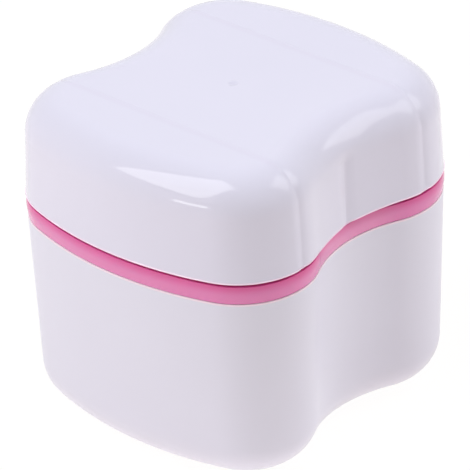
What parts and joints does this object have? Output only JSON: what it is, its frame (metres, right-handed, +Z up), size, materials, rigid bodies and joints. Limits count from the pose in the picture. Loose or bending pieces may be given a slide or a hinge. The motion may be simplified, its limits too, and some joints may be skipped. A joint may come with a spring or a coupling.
{
  "type": "denture case",
  "caption": "Denture bath case: rounded-square tub with concave side grips, a slotted strainer basket hung in it and a lift-off lid.",
  "frame": {"origin": "centre of the tub's foot, on the surface that the case stands on", "axes": "+Z up, X from grip to grip, Y from one convex face to the other"},
  "size_m": [0.0782, 0.087, 0.08],
  "materials": {
    "white_plastic": "satin white moulding",
    "pink_plastic": "semi-gloss pink moulding",
    "lid_plastic": "high-gloss white moulding"
  },
  "bodies": {
    "tub": {"tub": "white_plastic"},
    "strainer_basket": {"strainer_basket": "pink_plastic"},
    "lid": {"lid": "lid_plastic"}
  },
  "joints": [
    {"name": "basket_lift", "type": "slide", "parent": "tub", "child": "strainer_basket", "axis": [0, 0, 1], "range_m": [0, 0.06]},
    {"name": "lid_lift", "type": "slide", "parent": "strainer_basket", "child": "lid", "axis": [0, 0, 1], "range_m": [0, 0.045]}
  ]
}
